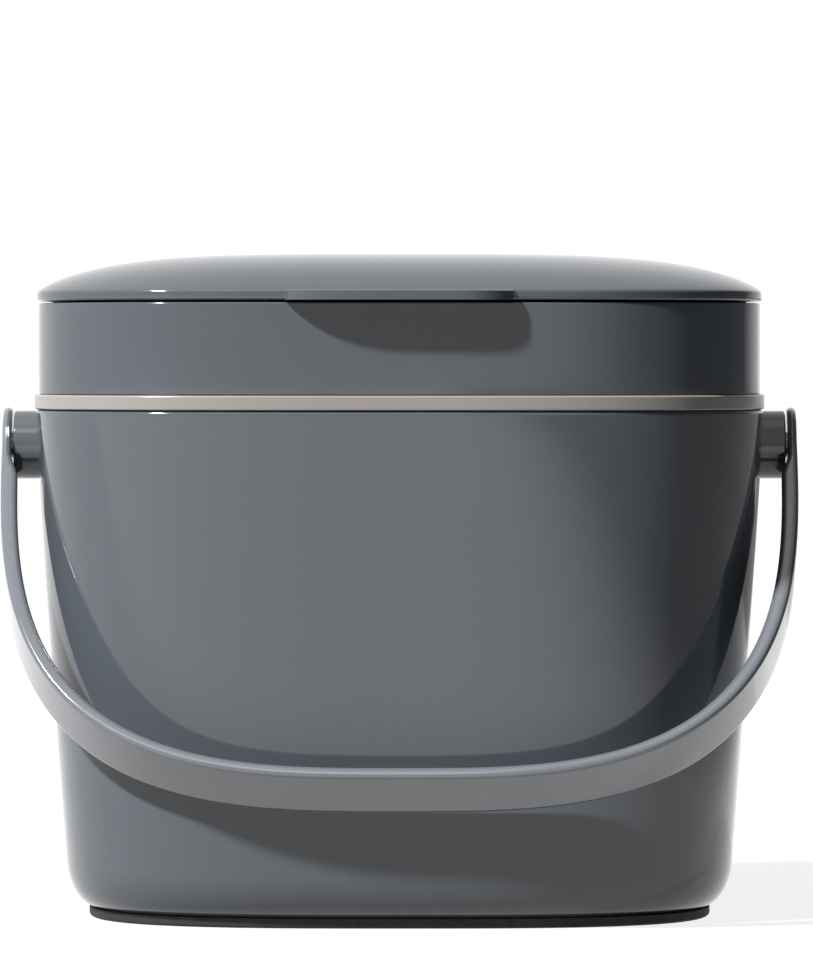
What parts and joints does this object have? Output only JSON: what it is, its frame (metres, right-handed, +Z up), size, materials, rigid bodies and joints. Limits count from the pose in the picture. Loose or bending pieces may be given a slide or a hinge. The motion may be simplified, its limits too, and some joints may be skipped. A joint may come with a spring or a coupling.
{
  "type": "compost caddy with hinged lid",
  "caption": "Kitchen compost caddy: tapered bin with a swinging bail handle, lift-out bag ring, and a lift-off rim that carries a hinged lid with a seal.",
  "frame": {"origin": "centre of the foot ring's lower face, on the table", "axes": "+Z up, -Y towards the front with the thumb lip, +X along the handle's pivot axis to the right as seen from the front"},
  "size_m": [0.2756, 0.2138, 0.2282],
  "materials": {
    "charcoal_gloss": "glossy moulded charcoal grey",
    "charcoal_satin": "satin moulded charcoal grey",
    "ring_grey": "satin-gloss moulded warm light grey",
    "foot_rubber": "matt non-slip",
    "seal_rubber": "matt soft silicone",
    "pin_steel": "bright drawn wire"
  },
  "bodies": {
    "bin": {"bin": "charcoal_gloss", "foot_ring": "foot_rubber"},
    "bag_ring": {"bag_ring": "ring_grey"},
    "lid_rim": {"lid_rim": "charcoal_gloss", "hinge_pin": "pin_steel"},
    "lid": {"lid": "charcoal_gloss", "lid_liner": "charcoal_satin", "lid_seal": "seal_rubber"},
    "handle": {"handle": "charcoal_gloss"}
  },
  "joints": [
    {"name": "bag_ring_lift", "type": "slide", "parent": "bin", "child": "bag_ring", "axis": [0, 0, -1], "range_m": [-0.0331, 0]},
    {"name": "lid_rim_lift", "type": "slide", "parent": "bag_ring", "child": "lid_rim", "axis": [0, 0, -1], "range_m": [-0.0488, 0]},
    {"name": "lid_hinge", "type": "hinge", "parent": "lid_rim", "child": "lid", "pos_m": [0, 0.1014, 0.21175], "axis": [-1, 0, 0], "range_deg": [0, 100]},
    {"name": "handle_swing", "type": "hinge", "parent": "bin", "child": "handle", "pos_m": [0, 0, 0.1623], "axis": [-1, 0, 0], "range_deg": [0, 278]}
  ]
}
